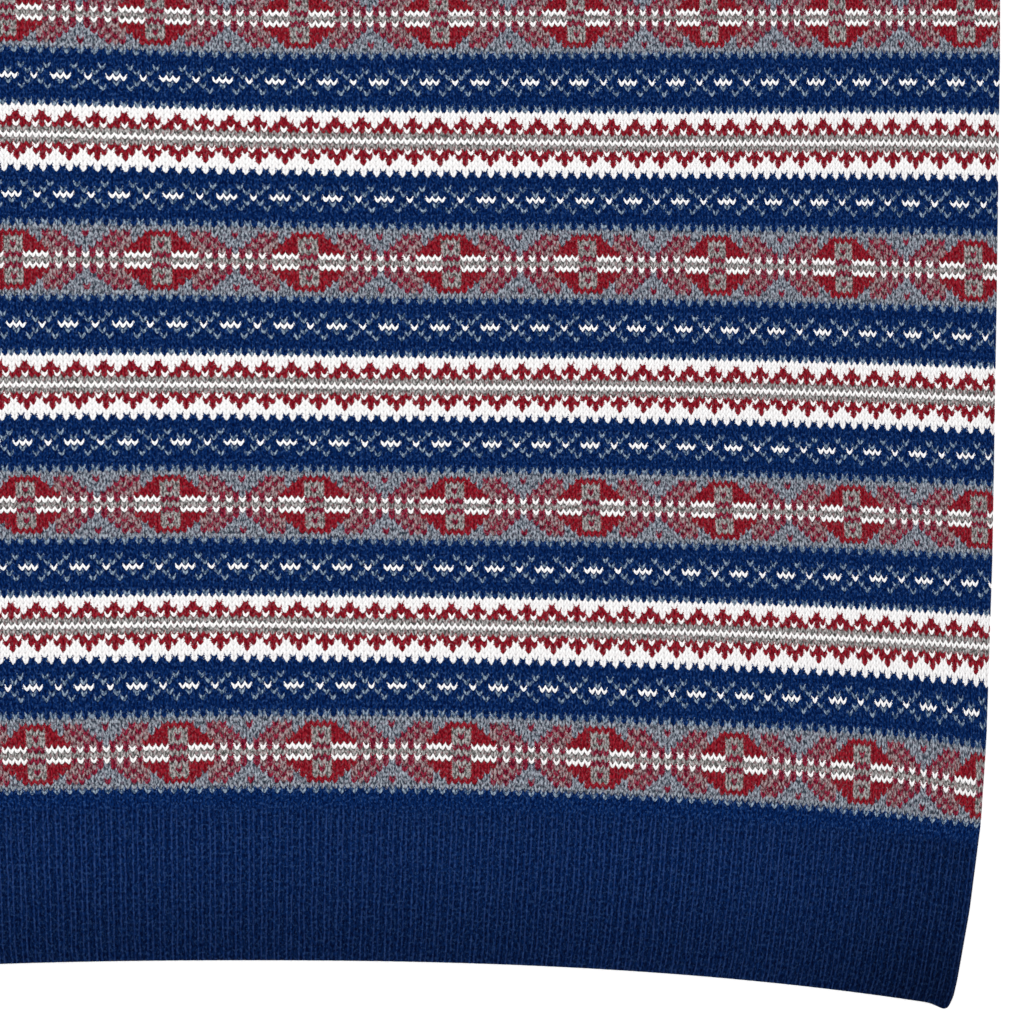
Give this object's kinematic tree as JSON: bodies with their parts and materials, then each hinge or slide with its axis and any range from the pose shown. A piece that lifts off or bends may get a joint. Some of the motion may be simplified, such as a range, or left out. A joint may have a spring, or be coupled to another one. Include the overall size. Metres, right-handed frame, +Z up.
{
  "type": "sweater vest",
  "caption": "Knitted V-neck sweater vest with patterned bands and plain navy ribbing, lying flat and face up.",
  "frame": {"origin": "on the surface the vest lies on, below the middle of its bounding box", "axes": "+Y from the hem towards the neck, +X to the right as one looks down on the front, +Z up off the surface"},
  "size_m": [0.5308, 0.6874, 0.0041],
  "materials": {
    "patterned_knit": "soft woollen jersey knitted in bands of navy, white, crimson and heather grey",
    "navy_rib": "soft woollen 1x1 rib, navy with a little pale fleck"
  },
  "bodies": {
    "root": {"front_body": "patterned_knit", "back_body": "patterned_knit", "front_hem_rib": "navy_rib", "back_hem_rib": "navy_rib", "neckband": "navy_rib", "armhole_band_left": "navy_rib", "armhole_band_right": "navy_rib"}
  },
  "joints": []
}
